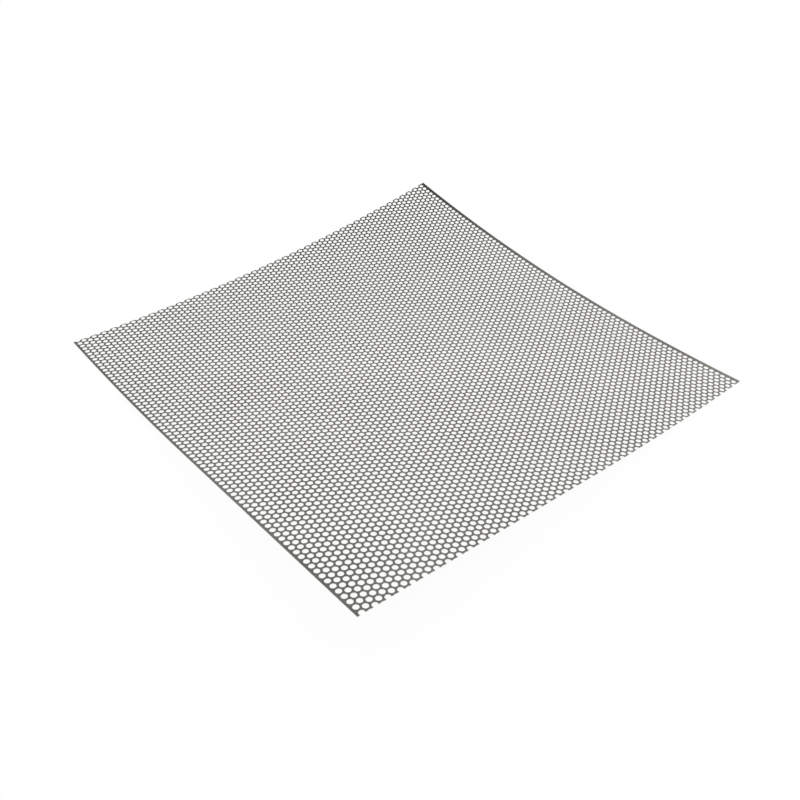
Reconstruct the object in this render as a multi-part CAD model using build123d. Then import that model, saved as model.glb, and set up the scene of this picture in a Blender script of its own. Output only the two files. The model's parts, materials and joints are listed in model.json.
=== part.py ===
from build123d import *
import os
from math import cos, degrees, floor, radians, sin, sqrt, tan

# A square of thin perforated steel sheet, lying bowed on a level floor.
# +X runs across the rows of holes, +Y along them, +Z up.
# The origin is on the underside, in the middle, where the sheet touches the floor.
# The bow is laid out as flat strips that meet in mitred creases, each strip a node of its own.

# Driving sizes, in millimetres and degrees.
sheet_width = 489.2        # across the rows, between the outer edges of the two solid margins
sheet_length = 490.0       # along the rows, between the two sheared ends
thickness = 0.5
hole_diameter = 4.85       # 3/16 inch, at the wide end of its tolerance
pitch = 6.35               # 1/4 inch between neighbouring holes, every other row half a pitch on
first_row_margin = 4.6     # left edge to the centres of the first row
last_row_margin = 5.0      # least distance from the last row's centres to the right edge
first_hole_inset = 1.2     # near end to the centres of the holes that it cuts open

# The bow: flat at the near corner, then two arcs, the tighter one towards the far corner.
bow_direction = 47.0       # the bow rises along this line, turned from +X towards +Y
flat_corner_start = 171.0  # from the origin towards the near corner, where the bow ends
middle_radius = 1190.0
far_arc_start = 90.0       # from the origin towards the far corner
far_radius = 935.0
middle_strip_count = 9     # odd, so that one strip lies level on the floor

row_spacing = pitch * sqrt(3) / 2
hole_radius = hole_diameter / 2
half_width = sheet_width / 2
half_length = sheet_length / 2
bow_cos = cos(radians(bow_direction))
bow_sin = sin(radians(bow_direction))
corner_reach = half_width * bow_cos + half_length * bow_sin
crease_reach = half_width * bow_sin + half_length * bow_cos
strip_width = 2 * flat_corner_start / middle_strip_count


def bow_slope(distance):
    """Slope of the bow, in radians, at a distance along it from the origin."""
    if distance > far_arc_start:
        return far_arc_start / middle_radius + (distance - far_arc_start) / far_radius
    return max(distance, -flat_corner_start) / middle_radius


def strip_ends():
    """Distances along the bow where one strip ends and the next begins."""
    ends = [-corner_reach - pitch, -flat_corner_start]
    while ends[-1] < corner_reach:
        ends.append(ends[-1] + strip_width)
    return ends


def hole_centres(start, end):
    """Centres, on the flat sheet, of the holes that reach between two distances along the bow."""
    row_count = 1 + floor((sheet_width - first_row_margin - last_row_margin) / row_spacing)
    centres = []
    for row in range(row_count):
        x = first_row_margin + row * row_spacing - half_width
        first_y = first_hole_inset - half_length - (row % 2) * pitch / 2
        hole_count = 1 + floor((half_length + hole_radius - first_y) / pitch)
        for hole in range(hole_count):
            y = first_y + hole * pitch
            distance = x * bow_cos + y * bow_sin
            if start - hole_radius < distance < end + hole_radius:
                centres.append((x, y))
    return centres


def flat_strip(start, end, turn_before, turn_after):
    """A strip of the punched and sheared sheet, laid flat, its long sides mitred for the bow."""
    half_strip = (end - start) / 2
    in_sheet = Rot(Z=bow_direction) * Pos((start + end) / 2, 0)
    blank = Wire.make_rect(2 * half_strip + 2 * pitch, 2 * crease_reach + 2 * pitch)
    holes = [Wire.make_circle(hole_radius, Plane((x, y, 0))) for x, y in hole_centres(start, end)]
    punched = Solid.extrude(Face(blank.moved(in_sheet), holes), Vector(0, 0, thickness))
    lean_before = thickness * tan(turn_before / 2)
    lean_after = thickness * tan(turn_after / 2)
    mitre = Polygon(
        (-half_strip - lean_before, -thickness),
        (half_strip + lean_after, -thickness),
        (half_strip - 2 * lean_after, 2 * thickness),
        (2 * lean_before - half_strip, 2 * thickness),
        align=None,
    )
    mitred = in_sheet * extrude(Plane.XZ * mitre, crease_reach + pitch, both=True)
    sheared = Box(sheet_width, sheet_length, 4 * thickness)
    return punched & (mitred & sheared)


def creases(ends, slopes):
    """Place of each strip's end, as distance along the floor and height above it."""
    level = slopes.index(min(slopes, key=abs))
    places = [(0.0, 0.0)]
    for start, end, slope in zip(ends, ends[1:], slopes):
        along, height = places[-1]
        places.append((along + (end - start) * cos(slope), height + (end - start) * sin(slope)))
    middle_along = (places[level][0] + places[level + 1][0]) / 2
    floor_height = places[level][1]
    return [(along - middle_along, height - floor_height) for along, height in places]


def on_bow(strip, start, place, slope):
    """A flat strip moved to its place on the bow, starting at a crease's place."""
    to_origin = Pos(-start, 0) * Rot(Z=-bow_direction)
    to_bow = Rot(Z=bow_direction) * Pos(place[0], 0, place[1]) * Rot(Y=-degrees(slope))
    return to_bow * to_origin * strip


ends = strip_ends()
slopes = [bow_slope((start + end) / 2) for start, end in zip(ends, ends[1:])]
slopes[0] = bow_slope(-flat_corner_start)
places = creases(ends, slopes)

os.makedirs("parts", exist_ok=True)
for index, slope in enumerate(slopes):
    turn_before = slope - slopes[max(index - 1, 0)]
    turn_after = slopes[min(index + 1, len(slopes) - 1)] - slope
    cut = flat_strip(ends[index], ends[index + 1], turn_before, turn_after)
    # A crease can cut the tip off a tooth of the sheared ends: only the strip itself is kept.
    strip = cut.solids().sort_by(SortBy.VOLUME)[-1]
    strip = on_bow(strip, ends[index], places[index], slope)
    export_step(strip, f"parts/sheet_strip_{index + 1:02d}.step", write_pcurves=False)
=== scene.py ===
# A square of perforated steel sheet, lying bowed on a pale floor.
import bpy
import bmesh
import json
from math import asin, cos, floor, isclose, pi, radians, sin, sqrt
from mathutils import Matrix, Vector

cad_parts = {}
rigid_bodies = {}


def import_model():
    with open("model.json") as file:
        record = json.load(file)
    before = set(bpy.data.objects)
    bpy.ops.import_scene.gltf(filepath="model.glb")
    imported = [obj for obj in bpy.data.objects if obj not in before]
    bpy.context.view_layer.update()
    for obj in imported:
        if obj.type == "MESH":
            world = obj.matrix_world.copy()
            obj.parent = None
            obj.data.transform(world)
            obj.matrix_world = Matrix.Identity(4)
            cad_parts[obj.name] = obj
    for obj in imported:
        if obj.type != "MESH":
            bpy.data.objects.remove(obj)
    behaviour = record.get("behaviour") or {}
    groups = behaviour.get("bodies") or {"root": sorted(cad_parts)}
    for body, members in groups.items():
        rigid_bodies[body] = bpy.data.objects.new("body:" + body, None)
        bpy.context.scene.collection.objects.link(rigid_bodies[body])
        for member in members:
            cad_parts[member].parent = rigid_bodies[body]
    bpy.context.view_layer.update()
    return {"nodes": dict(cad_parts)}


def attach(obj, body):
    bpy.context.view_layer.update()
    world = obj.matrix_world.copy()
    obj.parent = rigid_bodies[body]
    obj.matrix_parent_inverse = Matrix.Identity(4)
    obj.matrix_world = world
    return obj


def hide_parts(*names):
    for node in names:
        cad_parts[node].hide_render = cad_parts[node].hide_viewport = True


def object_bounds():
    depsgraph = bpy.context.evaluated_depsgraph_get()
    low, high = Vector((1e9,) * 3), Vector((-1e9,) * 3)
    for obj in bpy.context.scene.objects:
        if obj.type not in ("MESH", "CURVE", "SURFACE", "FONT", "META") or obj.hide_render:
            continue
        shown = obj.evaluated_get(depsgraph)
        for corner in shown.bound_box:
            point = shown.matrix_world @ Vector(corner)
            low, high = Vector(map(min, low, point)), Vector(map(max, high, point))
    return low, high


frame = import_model()
mm = 0.001

# What a user would change about the sheet, in mm and degrees.
sheet = {
    "width": 489.2,            # across the rows of holes
    "length": 490.0,           # along the rows
    "thickness": 0.5,
    "holeDiameter": 4.85,
    "pitch": 6.35,
    "firstRowMargin": 4.6,     # left edge to the centres of the first row
    "lastRowMargin": 5.0,      # least distance from the last row to the right edge
    "firstHoleInset": 1.2,     # near end to the centres of the holes it cuts open, at the left edge
    "nearEndSkew": 0.65,       # the near end is sheared this much further in at the right edge
    "farEndInset": 0.08,       # the far end is this much short of the length at the left edge
    "farEndSkew": 0.6,         # and is sheared this much further out at the right edge
    "rollOver": 0.08,          # soft rim that the punch leaves on the upper side
    "holeSides": 18,
    "bowDirection": 47.0,      # the bow rises this way, from +X towards +Y
    "flatCornerStart": 171.0,  # beyond this the near corner is flat
    "middleRadius": 1190.0,
    "farArcStart": 90.0,
    "farRadius": 938.0,        # 3 mm over the CAD's: keeps the skewed far end within its height
    "middleStrips": 9,         # strips between the flat corner and its mirror image
}
pitch = sheet["pitch"]
holeRadius = sheet["holeDiameter"] / 2
rowSpacing = pitch * sqrt(3) / 2
halfWidth = sheet["width"] / 2
halfLength = sheet["length"] / 2
bowAngle = radians(sheet["bowDirection"])
rowsWidth = sheet["width"] - sheet["firstRowMargin"] - sheet["lastRowMargin"]
rowCount = 1 + floor(rowsWidth / rowSpacing)
columnCount = 2 + floor((sheet["length"] - sheet["firstHoleInset"]) / pitch)
firstRow = sheet["firstRowMargin"] - halfWidth
firstHole = sheet["firstHoleInset"] - halfLength
weldGap = 0.01 * mm            # points nearer than this are joined
sharpAngle = radians(35)       # edges that turn by more than this look sharp
beyondSheet = 1.0              # metres, further than any corner


def addNode(tree, kind, links=None, **settings):
    # links maps an input's name or number to a socket or a plain value
    node = tree.nodes.new(kind)
    for name, value in settings.items():
        setattr(node, name, value)
    for key, value in (links or {}).items():
        if isinstance(value, bpy.types.NodeSocket):
            tree.links.new(value, node.inputs[key])
        else:
            node.inputs[key].default_value = value
    return node


def linearColour(hexCode):
    # sRGB hex to linear, with alpha
    channels = [int(hexCode[n:n + 2], 16) / 255 for n in (1, 3, 5)]
    return [c / 12.92 if c <= 0.04045 else ((c + 0.055) / 1.055) ** 2.4 for c in channels] + [1.0]


# ---- steel ----
# What a user would change about the metal. Colours and roughness run from dullest to brightest.

rolledSide = {
    "name": "coldRolledMildSteel",
    "colours": ("#6e6c69", "#83817c"),
    "roughness": (0.36, 0.28),
    "cloudWidth": 62.5,        # mm, patches of duller and brighter metal
    "lineWidth": 1.6,          # mm, rolling lines; real ones are finer and would not show
    "lineStretch": 25.0,       # how many times longer than wide the lines are
    "lineShare": 0.35,         # the lines' part in the tones, the rest is clouds
    "lineDepth": 0.05,         # mm
    "lineStrength": 0.15,
}
cutEdge = {
    "name": "burnishedCutSteel",
    "colours": ("#c7c3bc", "#e3dfd8"),
    "roughness": (0.42, 0.3),
    "patchWidth": 5.0,         # mm, where the metal sheared clean or tore, about as wide as a hole
}
noiseRange = 0.3, 0.7          # nearly all of a noise lies between these


def makeSteel(look, makeTones):
    steel = bpy.data.materials.new(look["name"])
    steel.use_nodes = True
    tree = steel.node_tree
    tree.nodes.clear()
    place = addNode(tree, "ShaderNodeTexCoord").outputs["Object"]
    tones, surface = makeTones(tree, place)
    colour = addNode(tree, "ShaderNodeValToRGB", {"Fac": tones})
    for stop, position, hexCode in zip(colour.color_ramp.elements, noiseRange, look["colours"]):
        stop.position, stop.color = position, linearColour(hexCode)
    dull, bright = look["roughness"]
    rough = addNode(tree, "ShaderNodeMapRange",
                    {"Value": tones, "From Min": noiseRange[0], "From Max": noiseRange[1],
                     "To Min": dull, "To Max": bright})
    shader = addNode(tree, "ShaderNodeBsdfPrincipled",
                     {"Base Color": colour.outputs[0], "Metallic": 1.0,
                      "Roughness": rough.outputs[0], **surface})
    addNode(tree, "ShaderNodeOutputMaterial", {"Surface": shader.outputs[0]})
    return steel


def rolledTones(tree, place):
    # Bare cold rolled mild steel: a dull, cloudy mid grey with fine lines the way it was rolled.
    clouds = addNode(tree, "ShaderNodeTexNoise",
                     {"Vector": place, "Scale": 1 / (rolledSide["cloudWidth"] * mm), "Detail": 4.0})
    drawnOut = (1.0, 1 / rolledSide["lineStretch"], 1.0)
    stretched = addNode(tree, "ShaderNodeMapping", {"Vector": place, "Scale": drawnOut})
    lines = addNode(tree, "ShaderNodeTexNoise",
                    {"Vector": stretched.outputs[0], "Scale": 1 / (rolledSide["lineWidth"] * mm),
                     "Detail": 2.0})
    tones = addNode(tree, "ShaderNodeMix",
                    {"Factor": rolledSide["lineShare"], "A": clouds.outputs["Fac"],
                     "B": lines.outputs["Fac"]}, data_type="FLOAT")
    bump = addNode(tree, "ShaderNodeBump",
                   {"Height": lines.outputs["Fac"], "Strength": rolledSide["lineStrength"],
                    "Distance": rolledSide["lineDepth"] * mm})
    return tones.outputs[0], {"Normal": bump.outputs[0]}


def cutTones(tree, place):
    # Punched and sheared steel: the tools burnish it in patches, brighter than the rolled sides.
    patches = addNode(tree, "ShaderNodeTexNoise",
                      {"Vector": place, "Scale": 1 / (cutEdge["patchWidth"] * mm), "Detail": 3.0})
    return patches.outputs["Fac"], {}


mildSteel = makeSteel(rolledSide, rolledTones)
cutSteel = makeSteel(cutEdge, cutTones)


# ---- cells: the metal round one hole, cut off where it meets an end or a margin ----
# low and high are the cell's ends along the row, left and right its reach across it;
# the slants turn the ends where the sheet's own end cuts the cell off.

def holeArc(radius, low, high):
    # points of a hole's edge inside the cell, and whether they close a ring
    if low > -radius:
        start, stop = asin(low / radius), pi - asin(low / radius)
        opening = pi - 2 * asin(low / holeRadius)
    elif high < radius:
        start, stop = pi - asin(high / radius), 2 * pi + asin(high / radius)
        opening = pi + 2 * asin(high / holeRadius)
    else:
        angles = [2 * pi * n / sheet["holeSides"] for n in range(sheet["holeSides"])]
        return [(radius * cos(angle), radius * sin(angle)) for angle in angles], True
    # every radius gets the same count of points, so that rims join up
    sides = max(2, round(opening / (2 * pi) * sheet["holeSides"]))
    angles = [start + (stop - start) * n / sides for n in range(sides + 1)]
    return [(radius * cos(angle), radius * sin(angle)) for angle in angles], False


def cellSide(x, low, high, lowSlant, highSlant):
    # points up one side of a cell, with one wherever the next row's cells meet
    meetings = [y for y in (0.0, pitch / 2) if low + lowSlant * x < y < high + highSlant * x]
    return [(x, y) for y in [low] + meetings + [high]]


def addCap(cell, low, high, left, right, lowSlant, highSlant, radius, height):
    # the flat metal of a cell, above or below; returns the corners along the hole
    rightSide = cellSide(right, low, high, lowSlant, highSlant)
    leftSide = cellSide(-left, low, high, lowSlant, highSlant)[::-1]
    if low >= holeRadius or high <= -holeRadius:
        loops = [rightSide + leftSide]
        arc, closed = [], False
    else:
        arc, closed = holeArc(radius, low, high)
        if not closed and height == 0:
            # the rim's ends come down to here along the cut
            rim = holeArc(holeRadius + sheet["rollOver"], low, high)[0]
            arc = [rim[0]] + arc + [rim[-1]]
        if closed:
            loops = [rightSide + leftSide, arc]
        elif low > -radius:
            loops = [rightSide + leftSide + arc[::-1]]
        else:
            loops = [rightSide + arc[::-1] + leftSide]
    made = [[cell.verts.new((x * mm, y * mm, height * mm)) for x, y in loop] for loop in loops]
    edges = [cell.edges.new((loop[n - 1], loop[n])) for loop in made for n in range(len(loop))]
    bmesh.ops.triangle_fill(cell, use_beauty=True, edges=edges)
    if closed:
        return made[1], True
    onHole = dict(zip(loops[0], made[0]))
    return [onHole[point] for point in arc], False


def addCell(name, low, high, left, right, lowSlant, highSlant):
    cell = bmesh.new()
    outline = low, high, left, right, lowSlant, highSlant
    top = sheet["thickness"]
    rimRadius = holeRadius + sheet["rollOver"]
    ring, closed = addCap(cell, *outline, rimRadius, top)
    addCap(cell, *outline, holeRadius, 0)
    rim = [cell.verts.new((x * mm, y * mm, (top - sheet["rollOver"]) * mm))
           for x, y in (holeArc(holeRadius, low, high)[0] if ring else [])]
    for n in range(len(ring) if closed else len(ring) - 1):
        after = (n + 1) % len(ring)
        cell.faces.new((ring[n], ring[after], rim[after], rim[n]))
    for corner in cell.verts:
        for end, slant in ((low, lowSlant), (high, highSlant)):
            if isclose(corner.co.y, end * mm, rel_tol=0, abs_tol=weldGap / 1000):
                corner.co.y += slant * corner.co.x
    mesh = bpy.data.meshes.new(name)
    mesh.materials.append(mildSteel)
    cell.to_mesh(mesh)
    cell.free()
    return bpy.data.objects.new(name, mesh)


wholeKinds = 3                 # for the inner, the left and the right rows


def cellKinds():
    # the whole cells, then every row's near end cell, then every row's far end cell
    half = pitch / 2
    lastRow = rowCount - 1
    rightMargin = halfWidth - firstRow - lastRow * rowSpacing
    reaches = [[rowSpacing / 2, rowSpacing / 2] for row in range(rowCount)]
    reaches[0][0], reaches[lastRow][1] = sheet["firstRowMargin"], rightMargin
    whole = [(-half, half, *reaches[row], 0.0, 0.0) for row in (1, 0, lastRow)]
    nearSlant = sheet["nearEndSkew"] / sheet["width"]
    farSlant = sheet["farEndSkew"] / sheet["width"]
    near, far = [], []
    for row, reach in enumerate(reaches):
        fromLeft = sheet["firstRowMargin"] + row * rowSpacing
        start = firstHole - row % 2 * half
        nearEnd = nearSlant * fromLeft - halfLength
        farEnd = farSlant * fromLeft + halfLength - sheet["farEndInset"]
        lastHole = start + floor((halfLength + half - start) / pitch) * pitch
        near.append((nearEnd - start, half, *reach, nearSlant, 0.0))
        far.append((-half, farEnd - lastHole, *reach, 0.0, farSlant))
    return whole + near + far


cells = bpy.data.collections.new("cells")
for number, kind in enumerate(cellKinds()):
    cells.objects.link(addCell(f"cell{number:03d}", *kind))


# ---- Geometry Nodes: lay out the cells, close the edges, bow the sheet ----

def addRecipe(tree, values, steps):
    # each step is a name for the result, a Math operation and its operands by name or number
    for name, operation, *operands in steps:
        links = {n: values.get(word, word) for n, word in enumerate(operands)}
        values[name] = addNode(tree, "ShaderNodeMath", links, operation=operation).outputs[0]


layoutSteps = [
    ("row", "DIVIDE", "index", "Columns"),
    ("row", "FLOOR", "row"),
    ("before", "MULTIPLY", "row", "Columns"),
    ("column", "SUBTRACT", "index", "before"),
    ("odd", "MODULO", "row", 2),
    ("x", "MULTIPLY_ADD", "row", "Row Spacing", "First Row"),
    ("half", "MULTIPLY", "Pitch", 0.5),
    ("setBack", "MULTIPLY", "odd", "half"),
    ("start", "SUBTRACT", "First Hole", "setBack"),
    ("y", "MULTIPLY_ADD", "column", "Pitch", "start"),
]
# which kind of cell a place takes, and whether it is on the sheet and in this strip
kindSteps = [
    ("under", "SUBTRACT", "y", "half"),
    ("over", "ADD", "y", "half"),
    ("nearEnd", "MULTIPLY", "Half Length", -1),
    ("isNear", "LESS_THAN", "under", "nearEnd"),
    ("isFar", "GREATER_THAN", "over", "Half Length"),
    ("isLeft", "LESS_THAN", "row", 0.5),
    ("beforeLast", "SUBTRACT", "Rows", 1.5),
    ("isRight", "GREATER_THAN", "row", "beforeLast"),
    ("whole", "MULTIPLY_ADD", "isRight", 2, "isLeft"),
    ("cut", "MULTIPLY_ADD", "isFar", "Rows", "row"),
    ("cut", "ADD", "cut", wholeKinds),
    ("change", "SUBTRACT", "cut", "whole"),
    ("isCut", "ADD", "isNear", "isFar"),
    ("kind", "MULTIPLY_ADD", "isCut", "change", "whole"),
    ("distance", "MULTIPLY", "x", "bowCos"),
    ("distance", "MULTIPLY_ADD", "y", "bowSin", "distance"),
    ("early", "LESS_THAN", "distance", "Start"),
    ("late", "LESS_THAN", "distance", "End"),
    ("late", "SUBTRACT", 1, "late"),
    ("off", "GREATER_THAN", "under", "lastUnder"),
    ("leftOut", "ADD", "early", "late"),
    ("leftOut", "ADD", "leftOut", "off"),
]
# the bow: near is the flat corner's share of the distance, far the far arc's, arc the rest
bowSteps = [
    ("s", "MULTIPLY", "x", "bowCos"),
    ("s", "MULTIPLY_ADD", "y", "bowSin", "s"),
    ("r", "MULTIPLY", "x", "bowSin"),
    ("r", "MULTIPLY", "r", -1),
    ("r", "MULTIPLY_ADD", "y", "bowCos", "r"),
    ("near", "ADD", "s", "Flat Corner Start"),
    ("near", "MINIMUM", "near", 0),
    ("far", "SUBTRACT", "s", "Far Arc Start"),
    ("far", "MAXIMUM", "far", 0),
    ("arc", "SUBTRACT", "s", "near"),
    ("arc", "SUBTRACT", "arc", "far"),
    ("slope", "DIVIDE", "arc", "Middle Radius"),
    ("farSlope", "DIVIDE", "far", "Far Radius"),
    ("farSlope", "ADD", "farSlope", "slope"),
    ("sin", "SINE", "slope"),
    ("cos", "COSINE", "slope"),
    ("farSin", "SINE", "farSlope"),
    ("farCos", "COSINE", "farSlope"),
    ("along", "MULTIPLY", "sin", "Middle Radius"),
    ("along", "MULTIPLY_ADD", "near", "cos", "along"),
    ("run", "SUBTRACT", "farSin", "sin"),
    ("along", "MULTIPLY_ADD", "run", "Far Radius", "along"),
    ("lean", "MULTIPLY", "z", "farSin"),
    ("along", "SUBTRACT", "along", "lean"),
    ("rise", "SUBTRACT", 1, "cos"),
    ("height", "MULTIPLY", "rise", "Middle Radius"),
    ("height", "MULTIPLY_ADD", "near", "sin", "height"),
    ("farRise", "SUBTRACT", "cos", "farCos"),
    ("height", "MULTIPLY_ADD", "farRise", "Far Radius", "height"),
    ("height", "MULTIPLY_ADD", "z", "farCos", "height"),
    ("bowedX", "MULTIPLY", "r", "bowSin"),
    ("bowedX", "MULTIPLY", "bowedX", -1),
    ("bowedX", "MULTIPLY_ADD", "along", "bowCos", "bowedX"),
    ("bowedY", "MULTIPLY", "along", "bowSin"),
    ("bowedY", "MULTIPLY_ADD", "r", "bowCos", "bowedY"),
]

treeInputs = {
    "Rows": rowCount, "Columns": columnCount,
    "Pitch": pitch * mm, "Row Spacing": rowSpacing * mm,
    "First Row": firstRow * mm, "First Hole": firstHole * mm, "Half Length": halfLength * mm,
    "Thickness": sheet["thickness"] * mm, "Bow Direction": bowAngle,
    "Flat Corner Start": sheet["flatCornerStart"] * mm, "Middle Radius": sheet["middleRadius"] * mm,
    "Far Arc Start": sheet["farArcStart"] * mm, "Far Radius": sheet["farRadius"] * mm,
    "Start": 0.0, "End": 0.0,
}


def buildSheetTree():
    tree = bpy.data.node_groups.new("perforatedSheet", "GeometryNodeTree")
    tree.interface.new_socket("Geometry", in_out="OUTPUT", socket_type="NodeSocketGeometry")
    for name, value in treeInputs.items():
        kind = "NodeSocketInt" if isinstance(value, int) else "NodeSocketFloat"
        tree.interface.new_socket(name, in_out="INPUT", socket_type=kind).default_value = value
    given = addNode(tree, "NodeGroupInput").outputs
    values = {name: given[name] for name in treeInputs}
    values["index"] = addNode(tree, "GeometryNodeInputIndex").outputs[0]
    addRecipe(tree, values, [
        ("bowCos", "COSINE", "Bow Direction"),
        ("bowSin", "SINE", "Bow Direction"),
        ("count", "MULTIPLY", "Rows", "Columns"),
        ("lastUnder", "SUBTRACT", "Half Length", weldGap),
    ])
    # one point for each hole, kept where it belongs to this strip
    addRecipe(tree, values, layoutSteps + kindSteps)
    place = addNode(tree, "ShaderNodeCombineXYZ", {0: values["x"], 1: values["y"]})
    points = addNode(tree, "GeometryNodePoints",
                     {"Count": values["count"], "Position": place.outputs[0]})
    kept = addNode(tree, "GeometryNodeStoreNamedAttribute",
                   {"Geometry": points.outputs[0], "Name": "kind", "Value": values["kind"]},
                   data_type="INT", domain="POINT")
    kept = addNode(tree, "GeometryNodeDeleteGeometry",
                   {"Geometry": kept.outputs[0], "Selection": values["leftOut"]}, domain="POINT")
    kind = addNode(tree, "GeometryNodeInputNamedAttribute", {"Name": "kind"}, data_type="INT")
    kinds = addNode(tree, "GeometryNodeCollectionInfo",
                    {"Collection": cells, "Separate Children": True, "Reset Children": True})
    laid = addNode(tree, "GeometryNodeInstanceOnPoints",
                   {"Points": kept.outputs[0], "Instance": kinds.outputs[0], "Pick Instance": True,
                    "Instance Index": kind.outputs[0]})
    laid = addNode(tree, "GeometryNodeRealizeInstances", {"Geometry": laid.outputs[0]})
    laid = addNode(tree, "GeometryNodeMergeByDistance",
                   {"Geometry": laid.outputs[0], "Distance": weldGap})
    # walls: every open edge of the upper side is drawn down to the underside
    neighbours = addNode(tree, "GeometryNodeInputMeshEdgeNeighbors")
    position = addNode(tree, "GeometryNodeInputPosition")
    parts = addNode(tree, "ShaderNodeSeparateXYZ", {0: position.outputs[0]})
    values["z"] = parts.outputs[2]
    values["faces"] = neighbours.outputs[0]
    addRecipe(tree, values, [
        ("middleHeight", "MULTIPLY", "Thickness", 0.5),
        ("isUpper", "GREATER_THAN", "z", "middleHeight"),
        ("isOpen", "LESS_THAN", "faces", 1.5),
        ("isDrawn", "MULTIPLY", "isUpper", "isOpen"),
    ])
    walls = addNode(tree, "GeometryNodeExtrudeMesh",
                    {"Mesh": laid.outputs[0], "Selection": values["isDrawn"], "Offset Scale": 0.0},
                    mode="EDGES")
    under = addNode(tree, "ShaderNodeCombineXYZ", {0: parts.outputs[0], 1: parts.outputs[1]})
    closed = addNode(tree, "GeometryNodeSetPosition",
                     {"Geometry": walls.outputs["Mesh"], "Selection": walls.outputs["Top"],
                      "Position": under.outputs[0]})
    closed = addNode(tree, "GeometryNodeMergeByDistance",
                     {"Geometry": closed.outputs[0], "Distance": weldGap})
    # soft edges inside a hole, sharp ones where the upper side, rims and walls meet
    angle = addNode(tree, "GeometryNodeInputMeshEdgeAngle")
    values["angle"] = angle.outputs[0]
    addRecipe(tree, values, [("isSharp", "GREATER_THAN", "angle", sharpAngle)])
    shaded = addNode(tree, "GeometryNodeSetShadeSmooth", {"Geometry": closed.outputs[0]},
                     domain="FACE")
    shaded = addNode(tree, "GeometryNodeSetShadeSmooth",
                     {"Geometry": shaded.outputs[0], "Selection": values["isSharp"],
                      "Shade Smooth": False}, domain="EDGE")
    values["x"], values["y"] = parts.outputs[0], parts.outputs[1]
    addRecipe(tree, values, bowSteps)
    bowed = addNode(tree, "ShaderNodeCombineXYZ",
                    {0: values["bowedX"], 1: values["bowedY"], 2: values["height"]})
    bowed = addNode(tree, "GeometryNodeSetPosition",
                    {"Geometry": shaded.outputs[0], "Position": bowed.outputs[0]})
    finished = addNode(tree, "GeometryNodeSetMaterial",
                       {"Geometry": bowed.outputs[0], "Material": mildSteel})
    finished = addNode(tree, "GeometryNodeSetMaterial",
                       {"Geometry": finished.outputs[0], "Selection": walls.outputs["Side"],
                        "Material": cutSteel})
    addNode(tree, "NodeGroupOutput", {"Geometry": finished.outputs[0]})
    return tree


sheetTree = buildSheetTree()


def bakeStrip(name, start, end):
    # runs the tree between two distances along the bow and keeps the result as a plain mesh
    carrier = bpy.data.objects.new(name + "Nodes", bpy.data.meshes.new(name + "Nodes"))
    bpy.context.scene.collection.objects.link(carrier)
    modifier = carrier.modifiers.new("perforatedSheet", "NODES")
    modifier.node_group = sheetTree
    for socket in sheetTree.interface.items_tree:
        if socket.in_out == "INPUT":
            value = {"Start": start, "End": end}.get(socket.name, treeInputs[socket.name])
            modifier[socket.identifier] = value
    depsgraph = bpy.context.evaluated_depsgraph_get()
    mesh = bpy.data.meshes.new_from_object(carrier.evaluated_get(depsgraph), depsgraph=depsgraph)
    bpy.data.objects.remove(carrier)
    mesh.name = name
    shell = bmesh.new()
    shell.from_mesh(mesh)
    bmesh.ops.recalc_face_normals(shell, faces=shell.faces)
    shell.to_mesh(mesh)
    shell.free()
    strip = bpy.data.objects.new(name, mesh)
    bpy.context.scene.collection.objects.link(strip)
    return strip


def stripRange(number, count):
    # each strip's share of the bow, open-ended at the two corners
    width = 2 * sheet["flatCornerStart"] * mm / sheet["middleStrips"]
    start = -sheet["flatCornerStart"] * mm + (number - 2) * width
    end = start + width
    return (-beyondSheet if number == 1 else start), (beyondSheet if number == count else end)


stripNodes = sorted(frame["nodes"])
for number, node in enumerate(stripNodes, 1):
    strip = bakeStrip(f"perforatedStrip{number:02d}", *stripRange(number, len(stripNodes)))
    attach(strip, "root")
    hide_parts(node)
    print(strip.name, len(strip.data.polygons), "faces")
for cell in list(cells.objects):
    bpy.data.objects.remove(cell)
bpy.data.collections.remove(cells)


# ---- floor, light and camera ----

floorSizes = {
    "size": 12.0,              # metres
    "paper": "#fcfcfc",
    "glow": 0.93,              # how much of it is plain white, with no shadow
}


def makeFloor():
    # Matt white paper that keeps a soft shadow; seen directly or in the metal, mostly plain white.
    paper = bpy.data.materials.new("whitePaper")
    paper.use_nodes = True
    tree = paper.node_tree
    tree.nodes.clear()
    matt = addNode(tree, "ShaderNodeBsdfDiffuse", {"Color": linearColour(floorSizes["paper"])})
    white = addNode(tree, "ShaderNodeEmission", {"Color": (1, 1, 1, 1), "Strength": 1.0})
    rays = addNode(tree, "ShaderNodeLightPath").outputs
    seen = addNode(tree, "ShaderNodeMath", {0: rays["Is Camera Ray"], 1: rays["Is Glossy Ray"]},
                   operation="MAXIMUM")
    share = addNode(tree, "ShaderNodeMath", {0: seen.outputs[0], 1: floorSizes["glow"]},
                    operation="MULTIPLY")
    both = addNode(tree, "ShaderNodeMixShader", {0: share.outputs[0], 1: matt.outputs[0],
                                                 2: white.outputs[0]})
    addNode(tree, "ShaderNodeOutputMaterial", {"Surface": both.outputs[0]})
    mesh = bpy.data.meshes.new("floor")
    half = floorSizes["size"] / 2
    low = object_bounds()[0][2]
    corners = [(-half, -half, low), (half, -half, low), (half, half, low), (-half, half, low)]
    mesh.from_pydata(corners, [], [(0, 1, 2, 3)])
    mesh.materials.append(paper)
    ground = bpy.data.objects.new("floor", mesh)
    bpy.context.scene.collection.objects.link(ground)


makeFloor()

# dimmer parts of the room, seen only in the metal: the way there, the cosines of the angle to it
# where the dimness starts and is full, and how bright it is at its dimmest
room = {
    "light": 1.0,
    "dimCeiling": ((-0.1, 0.3, 0.95), 0.8, 0.89, 0.02),
    "dimSide": ((-0.3, 0.8, 0.5), 0.62, 1.0, 0.55),
}


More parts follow.
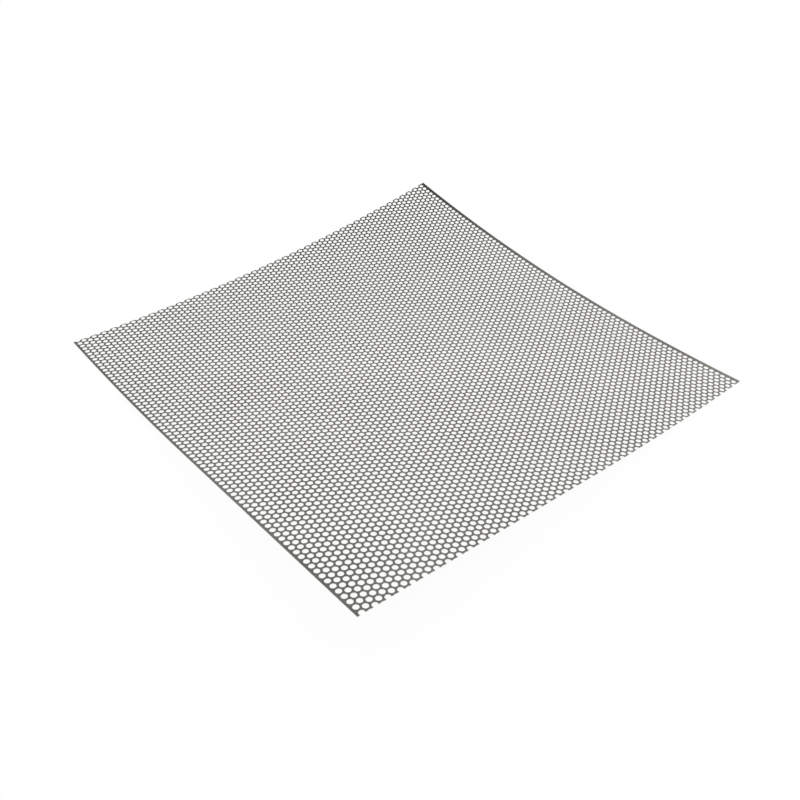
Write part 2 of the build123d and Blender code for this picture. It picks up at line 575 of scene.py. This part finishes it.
def makeRoom():
    # A white room with a dim patch of ceiling and a dim side.
    world = bpy.data.worlds.new("paleRoom")
    bpy.context.scene.world = world
    world.use_nodes = True
    tree = world.node_tree
    tree.nodes.clear()
    way = addNode(tree, "ShaderNodeTexCoord").outputs["Generated"]
    seen = 1.0
    for name in ("dimCeiling", "dimSide"):
        aside, start, full, dimmest = room[name]
        towards = addNode(tree, "ShaderNodeVectorMath", {0: way, 1: Vector(aside).normalized()},
                          operation="DOT_PRODUCT")
        dim = addNode(tree, "ShaderNodeMapRange",
                      {"Value": towards.outputs["Value"], "From Min": start, "From Max": full,
                       "To Min": 1.0, "To Max": dimmest}, interpolation_type="SMOOTHSTEP")
        both = addNode(tree, "ShaderNodeMath", {0: seen, 1: dim.outputs[0]}, operation="MULTIPLY")
        seen = both.outputs[0]
    rays = addNode(tree, "ShaderNodeLightPath").outputs
    strength = addNode(tree, "ShaderNodeMix",
                       {"Factor": rays["Is Glossy Ray"], "A": room["light"], "B": seen},
                       data_type="FLOAT")
    light = addNode(tree, "ShaderNodeBackground",
                    {"Color": (1, 1, 1, 1), "Strength": strength.outputs[0]})
    addNode(tree, "ShaderNodeOutputWorld", {"Surface": light.outputs[0]})


makeRoom()

cameraSizes = {
    "place": (-413.1, -483.1, 440.1),   # mm
    "aim": (-43.8, -78.6, 0.5),
    "roll": 1.84,                       # degrees
    "lens": 33.52,
    "shift": (-0.0248, 0.0189),
}


def addCamera():
    camera = bpy.data.cameras.new("camera")
    camera.lens = cameraSizes["lens"]
    camera.shift_x, camera.shift_y = cameraSizes["shift"]
    camera.clip_start = 0.01            # metres
    holder = bpy.data.objects.new("camera", camera)
    place = Vector(cameraSizes["place"]) * mm
    towards = Vector(cameraSizes["aim"]) * mm - place
    roll = Matrix.Rotation(radians(cameraSizes["roll"]), 3, "Z")
    turn = towards.to_track_quat("-Z", "Y").to_matrix() @ roll
    holder.matrix_world = Matrix.Translation(place) @ turn.to_4x4()
    bpy.context.scene.collection.objects.link(holder)
    bpy.context.scene.camera = holder


addCamera()
bpy.context.scene.view_settings.view_transform = "Standard"
